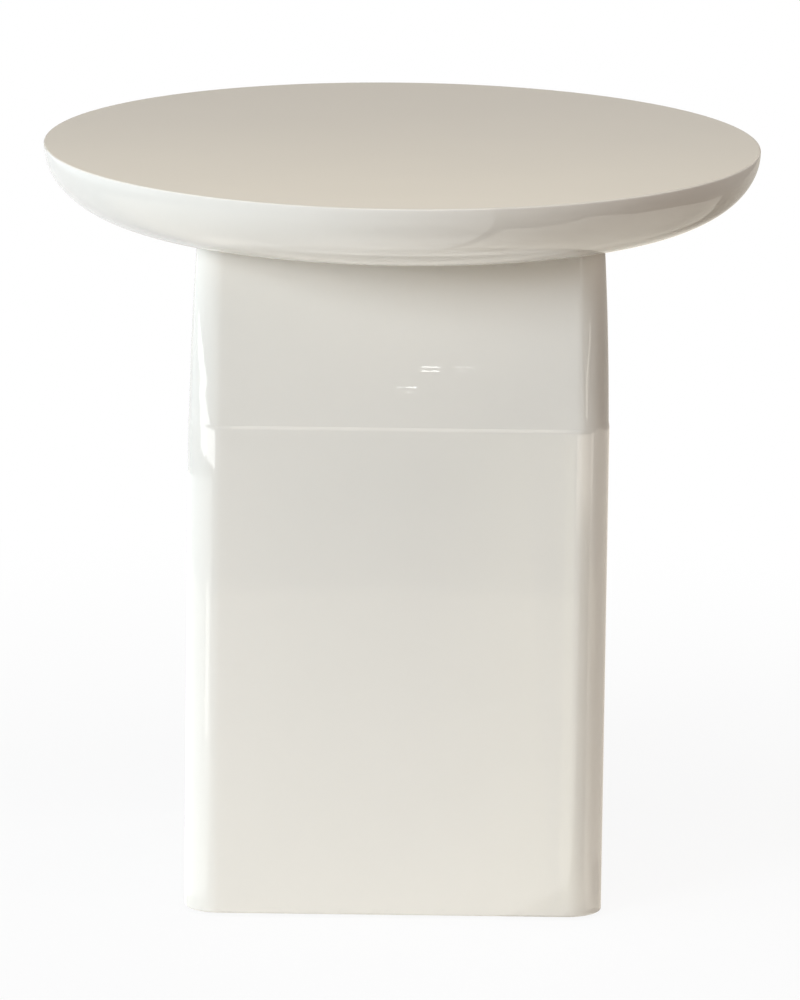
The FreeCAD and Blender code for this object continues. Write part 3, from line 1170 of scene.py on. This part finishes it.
@dataclass(frozen=True)
class Card:
    """A studio card that only shows in reflections: a reflector or a flag, plain or fading to a second colour.

    A card with named pieces is a thin veil of light that only those pieces mirror.
    """

    name: str
    sheet: Sheet
    colour: Point
    far_colour: Point | None = None
    fades: tuple[Fade, ...] = ()
    pieces: tuple[str, ...] = ()

    def build(self) -> None:
        """Adds the card, which no camera sees and which throws no shade."""
        bm = bmesh.new()
        edges = [item for line in self.sheet for item in Bench.profile(bm, line)]
        bmesh.ops.bridge_loops(bm, edges=[e for e in edges if isinstance(e, bmesh.types.BMEdge)])
        mesh = Bench.mesh(self.name, bm)
        mesh.materials.append(self.material())
        made = Bench.set_out(self.name, mesh)
        for ray in ("camera", "diffuse", "transmission", "volume_scatter", "shadow"):
            setattr(made, "visible_" + ray, False)
        if self.pieces:
            made.light_linking.receiver_collection = gather(self.name, self.pieces)

    def material(self) -> bpy.types.Material:
        """Makes the card's glow, which lets everything through where the card is a veil.

        Returns:
            The material.
        """
        made = bpy.data.materials.new(self.name)
        graph = Graph.of(made)
        share: Any = 1.0
        for fade in self.fades:
            share = graph.math("MULTIPLY", share, graph.ramp(graph.along(fade.axis), fade.start, fade.end))
        colour = graph.mix(share, (*self.colour, 1.0), (*(self.far_colour or self.colour), 1.0))
        surface = graph.node("ShaderNodeEmission", {"Color": colour, "Strength": 1.0})
        if self.pieces:
            clear = graph.node("ShaderNodeBsdfTransparent")
            surface = graph.node("ShaderNodeAddShader", {0: surface.outputs[0], 1: clear.outputs[0]})
        graph.node("ShaderNodeOutputMaterial", {"Surface": surface.outputs[0]})
        return made


MIDDLE = (0, 0)
LEFT_CORNER = (-0.137, -0.135)
RIGHT_CORNER = (0.137, -0.135)
FLOOR_LIFT = 0.001
VEIL_LIFT = 0.0015
SHEET_LIFT = 0.002
TOP = ("lacquered_top",)
FRONT_PANEL = ("lacquered_panel_front",)
FRONT_SHOULDER = ("lacquered_shoulder_front",)
LEFT_POST = ("lacquered_corner_post_front_left",)
RIGHT_POST = ("lacquered_corner_post_front_right",)
LEFT_SHOULDER_CORNER = ("lacquered_shoulder_corner_front_left",)
RIGHT_SHOULDER_CORNER = ("lacquered_shoulder_corner_front_right",)
UNDERSIDE = ("base_plate", "made_base_plate_screws") + tuple(
    "made_leveller_" + kind + "_" + corner.name.lower() for kind in ("stud", "pad") for corner in Corner)
RIGHT_SHEET = (
    bend(MIDDLE, 0.15, [
        (turn, SHEET_LIFT) for turn in (-33, -43, -53, -60, -65, -76, -87, -99, -114, -125, -133, -146)]),
    tuple((x, y, SHEET_LIFT) for x, y in (
        (0.336, -0.515), (0.434, -0.463), (0.574, -0.437), (0.82, -0.466), (0.87, -0.40), (0.874, -0.22),
        (0.943, -0.054), (1.0, 0.155), (0.966, 0.43), (1.0, 0.74), (0.78, 0.655), (0.50, 0.71))))
BACK_SHEET = (
    ((0.05, 0.25, SHEET_LIFT), (0.05, 3.0, SHEET_LIFT)), ((0.55, 0.25, SHEET_LIFT), (0.65, 3.0, SHEET_LIFT)))
RIGHT_LINE = (
    bend(RIGHT_CORNER, 1.0, ((-33, 0.20), (-39, 0.24), (-47, 0.277), (-48, 0.30))),
    bend(RIGHT_CORNER, 1.0, ((-39, 0.20), (-45, 0.24), (-53, 0.277), (-54, 0.30))))
WINDOW_WEDGE = (
    bend(LEFT_CORNER, 0.9, (
        (24, 0.122), (36, 0.126), (40, 0.127), (56, 0.132), (77, 0.138), (80, 0.222), (105, 0.262))),
    bend(LEFT_CORNER, 0.9, (
        (24, 0.158), (36, 0.162), (40, 0.206), (56, 0.232), (77, 0.264), (80, 0.268), (105, 0.296))))


@dataclass
class Studio:
    """Pale floor, soft lamps, cards for the lacquer to reflect, and the camera."""

    floor_half: float = 20.0
    floor_colour: Colour = (0.86, 0.86, 0.86, 1.0)
    floor_bounce: Colour = (0.90, 0.88, 0.84, 1.0)
    floor_bounce_far: Colour = (0.40, 0.37, 0.33, 1.0)
    floor_bounce_right: Colour = (0.22, 0.18, 0.14, 1.0)
    bounce_reach: Spot = (0.5, 1.3)
    bounce_turn: Spot = (0.05, 0.45)
    floor_glow_share: float = 0.90
    shade_reach: Spot = (0.35, 1.1)
    ambient: float = 0.05
    camera_place: Point = (0.0015, -5.896, 1.580)
    camera_pitch: float = math.radians(12.572)
    camera_roll: float = math.radians(0.722)
    lens: float = 308.9
    view_reach: float = 100.0
    lamps: tuple[Softbox, ...] = (
        Softbox("key", (-2.45, -2.8, 1.8), 1.5, 1.5, 93.0, (0.83, 0.895, 0.955)),
        Softbox("low_left", (-3.5, -0.9, 0.95), 1.5, 1.2, 49.0, (0.72, 0.85, 1.0)),
        Softbox("front", (-0.6, -3.4, 1.3), 1.5, 0.9, 8.2, (1.0, 0.86, 0.72)),
        Softbox("high_front", (0.15, -0.85, 3.0), 1.5, 1.1, 25.0, (1.0, 0.95, 0.93), mirrored=True),
        Softbox("right_fill", (3.0, -1.4, 1.2), 2.0, 2.0, 27.0, (1.0, 0.91, 0.87)),
        Softbox("back_fill", (2.4, 2.9, 1.3), 2.4, 1.6, 56.0),
        Softbox("back_left_fill", (-2.2, 3.1, 0.9), 2.0, 1.2, 30.0),
        Softbox("recess", (-0.015, -0.16, 0.391), 0.29, 0.112, 0.033, (1.0, 0.985, 0.93), (-0.015, -1, 0.391),
                mirrored=True, pieces=TOP),
        Softbox("under_floor", (0.3, -0.7, -1.2), 1.2, 1.2, 13.0, (1.0, 0.97, 0.93), (0, 0, 0), pieces=UNDERSIDE),
    )
    cards: tuple[Card, ...] = (
        Card("back_card", wall(((-4, 3.4), (4, 3.4)), 0, 3), (0.53, 0.47, 0.385), (0.82, 0.72, 0.55),
             (Fade("Z", 1.07, 1.23),)),
        Card("right_card", wall(((1.2, -3), (1.2, 3.4)), 0, 2.5), (0.14, 0.11, 0.08), (0.34, 0.31, 0.27),
             (Fade("Y", 0.0, 1.0),)),
        Card("right_upper_card", wall(((1.19, -3), (1.19, 3.4)), 0.72, 1.25), (0.7, 0.67, 0.6)),
        Card("left_card", wall(((-1.7, -0.4), (-1.7, 3.4)), 0, 2), (1.6, 1.66, 1.68), (0.72, 0.73, 0.72),
             (Fade("Z", 0.76, 0.88),)),
        Card("floor_card", ring(MIDDLE, (-28, 170, 14), (0.05, FLOOR_LIFT), (1.15, FLOOR_LIFT)),
             (1.6, 1.55, 1.45), (1.0, 1.01, 1.02), (Fade("Y", 0.1, 0.5),)),
        Card("right_floor_card", ring(MIDDLE, (-190, -28, 12), (0.05, FLOOR_LIFT), (4.5, FLOOR_LIFT)),
             (0.3, 0.26, 0.2), (0.58, 0.54, 0.47), (Fade("Y", 0.3, 1.9),)),
        Card("under_foot", mat((-0.143, 0.143), (-0.143, 0.143), 0.0016), (1.3, 1.25, 1.12)),
        Card("right_sheet", RIGHT_SHEET, (1.35, 1.3, 1.15), (0.52, 0.5, 0.44), (Fade("Y", -0.05, 0.45),), TOP),
        Card("back_sheet", BACK_SHEET, (0.5, 0.48, 0.43), (0, 0, 0), (Fade("X", 0.3, 0.5),), TOP),
        Card("under_bowl", ring(MIDDLE, (-60, 60, 16), (0.29, 0.428), (0.205, 0.438)), (0, 0, 0),
             (1.25, 1.23, 1.17),
             (Fade("Z", 0.428, 0.4325), Fade("X", 0.15, 0.03), Fade("X", -0.13, -0.03)), TOP),
        Card("rim_light", wall(((-1.0, 2.0), (-1.6, 1.0), (-1.6, -0.5), (-1.6, -1.5)), 1.25, 3.5),
             (2.0, 1.85, 1.55), pieces=TOP),
        Card("right_veil", ring(RIGHT_CORNER, (-190, -55, 10), (0.15, VEIL_LIFT), (0.15, 0.318)),
             (1.5, 1.42, 1.25), (0.6, 0.56, 0.5), (Fade("Y", -0.12, 0.01),), RIGHT_POST),
        Card("right_veil_foot", ring(RIGHT_CORNER, (-190, -55, 10), (0.02, VEIL_LIFT), (0.15, VEIL_LIFT)),
             (1.5, 1.42, 1.25), (0.5, 0.47, 0.42), (Fade("Y", -0.145, -0.115),), RIGHT_POST),
        Card("right_patch", ring(RIGHT_CORNER, (-65, -8, 8), (1.0, 0.03), (1.0, 0.14)), (0, 0, 0),
             (2.5, 2.3, 2.0), (Fade("Z", 0.03, 0.1),), RIGHT_POST),
        Card("right_line", RIGHT_LINE, (3.4, 3.2, 2.8), pieces=RIGHT_SHOULDER_CORNER),
        Card("window_wedge", WINDOW_WEDGE, (5.0, 5.1, 5.1), pieces=LEFT_SHOULDER_CORNER + LEFT_POST),
        Card("left_floor", ring(LEFT_CORNER, (34, 170, 12), (0.04, SHEET_LIFT), (1.42, SHEET_LIFT)),
             (1.3, 1.36, 1.36), pieces=LEFT_POST),
        Card("left_floor_strip", ring(LEFT_CORNER, (41, 52, 2), (0.5, 0.003), (1.0, 0.003)), (2.2, 2.2, 2.1),
             pieces=LEFT_POST),
        Card("joint_light", wall(((-1.2, -1.5), (1.2, -1.5)), 0.42, 2.65), (1.7, 1.55, 1.35), pieces=FRONT_PANEL),
        Card("shoulder_flag", wall(((-0.1, -1.52), (0.4, -1.52)), 0.30, 0.40), (1.0, 1.0, 1.0),
             (0.1, 0.08, 0.05), (Fade("Z", 0.305, 0.345), Fade("X", -0.06, 0.1))),
        Card("right_floor", mat((-0.05, 1.15), (-0.16, -1.75), SHEET_LIFT), (0, 0, 0), (1.2, 1.12, 0.65),
             (Fade("X", 0.0, 0.2),), FRONT_PANEL),
        Card("right_floor_post", mat((0.11, 1.15), (-0.16, -1.75), SHEET_LIFT), (1.1, 1.03, 0.65),
             (0.5, 0.45, 0.3), (Fade("X", 0.14, 0.28),), RIGHT_POST),
    )
    glint_distance: float = 1.044
    glint_boxes: tuple[tuple[float, ...], ...] = (
        (0.0180, 0.0317, 0.2574, 0.2586, 16.0),
        (0.0180, 0.0317, 0.2519, 0.2531, 15.0),
        (0.0432, 0.0605, 0.2574, 0.2586, 4.5),
        (0.0447, 0.0505, 0.2519, 0.2531, 4.0),
        (-0.0028, 0.0042, 0.2295, 0.2307, 4.5),
        (0.0057, 0.0146, 0.2295, 0.2307, 13.0),
        (0.0064, 0.0110, 0.2231, 0.2243, 7.0),
        (0.0064, 0.0102, 0.2061, 0.2073, 4.0),
    )

    def build(self) -> None:
        """Builds the studio round the table."""
        self.floor()
        self.world()
        for made in self.lamps + self.cards + self.glints():
            made.build()
        self.camera()
        bpy.context.scene.view_settings.view_transform = "Standard"

    def glints(self) -> tuple[Card, ...]:
        """Makes the slim far lights that the shoulder's front mirrors as short dashes.

        Returns:
            A card for each.
        """
        made = []
        for number, (left, right, low, high, glow) in enumerate(self.glint_boxes):
            sheet = wall(((left, -self.glint_distance), (right, -self.glint_distance)), low, high)
            made.append(Card("glint_" + str(number), sheet, (glow, glow, glow), pieces=FRONT_SHOULDER))
        return tuple(made)

    def floor(self) -> None:
        """A pale floor that keeps the table's shade near it and is plain white further off."""
        bm = bmesh.new()
        bmesh.ops.create_grid(bm, x_segments=1, y_segments=1, size=self.floor_half)
        mesh = Bench.mesh("studio_floor", bm)
        mesh.materials.append(self.floor_material())
        made = Bench.set_out("studio_floor", mesh)

    def floor_material(self) -> bpy.types.Material:
        """Makes the floor as it is seen, as it throws light back, and clear for a view or lamp from below.

        Returns:
            The material.
        """
        made = bpy.data.materials.new("pale floor")
        graph = Graph.of(made)
        away = graph.node("ShaderNodeVectorMath", {0: graph.place()}, operation="LENGTH").outputs["Value"]
        share = graph.ramp(away, *self.shade_reach, self.floor_glow_share, 1.0)
        glow = graph.node("ShaderNodeEmission", {"Color": WHITE, "Strength": share})
        shaded = graph.node("ShaderNodeBsdfDiffuse", {"Color": self.floor_colour})
        none = graph.node("ShaderNodeBsdfDiffuse", {"Color": BLACK})
        lit = graph.node("ShaderNodeMixShader", {0: share, 1: shaded.outputs[0], 2: none.outputs[0]})
        seen = graph.node("ShaderNodeAddShader", {0: glow.outputs[0], 1: lit.outputs[0]})
        colour = graph.mix(graph.ramp(away, *self.bounce_reach), self.floor_bounce, self.floor_bounce_far)
        colour = graph.mix(graph.ramp(graph.along("X"), *self.bounce_turn), colour, self.floor_bounce_right)
        bounce = graph.node("ShaderNodeBsdfDiffuse", {"Color": colour})
        rays = graph.node("ShaderNodeLightPath")
        inputs = {0: graph.shown(rays), 1: bounce.outputs[0], 2: seen.outputs[0]}
        mixed = graph.node("ShaderNodeMixShader", inputs)
        clear = graph.node("ShaderNodeBsdfTransparent")
        under = graph.node("ShaderNodeNewGeometry").outputs["Backfacing"]
        under = graph.math("MULTIPLY", under, rays.outputs["Is Camera Ray"])
        under = graph.math("MAXIMUM", under, rays.outputs["Is Shadow Ray"])
        last = graph.node("ShaderNodeMixShader", {0: under, 1: mixed.outputs[0], 2: clear.outputs[0]})
        graph.node("ShaderNodeOutputMaterial", {"Surface": last.outputs[0]})
        return made

    def world(self) -> None:
        """A white surround for what is seen and mirrored, and a low even light for the rest."""
        world = bpy.data.worlds.new("studio")
        graph = Graph.of(world)
        shown = graph.shown(graph.node("ShaderNodeLightPath"))
        strength = graph.ramp(shown, 0.0, 1.0, self.ambient, 1.0)
        sky = graph.node("ShaderNodeBackground", {"Color": WHITE, "Strength": strength})
        graph.node("ShaderNodeOutputWorld", {"Surface": sky.outputs[0]})
        bpy.context.scene.world = world

    def camera(self) -> None:
        """The camera at the photograph's angle."""
        lens = bpy.data.cameras.new("camera")
        lens.lens = self.lens
        lens.clip_end = self.view_reach
        made = Bench.set_out("camera", lens)
        tilt = Matrix.Rotation(QUARTER_TURN - self.camera_pitch, 4, "X")
        roll = Matrix.Rotation(self.camera_roll, 4, "Z")
        made.matrix_world = Matrix.Translation(self.camera_place) @ tilt @ roll
        bpy.context.scene.camera = made


def main() -> None:
    """Builds the table's looks and the studio, in order."""
    logging.basicConfig(level=logging.INFO, format="%(name)s: %(message)s")
    InnerWork().build()
    RoundTop().build()
    Column().build()
    for corner in Corner:
        LevellingGlide(corner).build()
    BasePlateScrews().build()
    Studio().build()


if __name__ == "__main__":
    main()
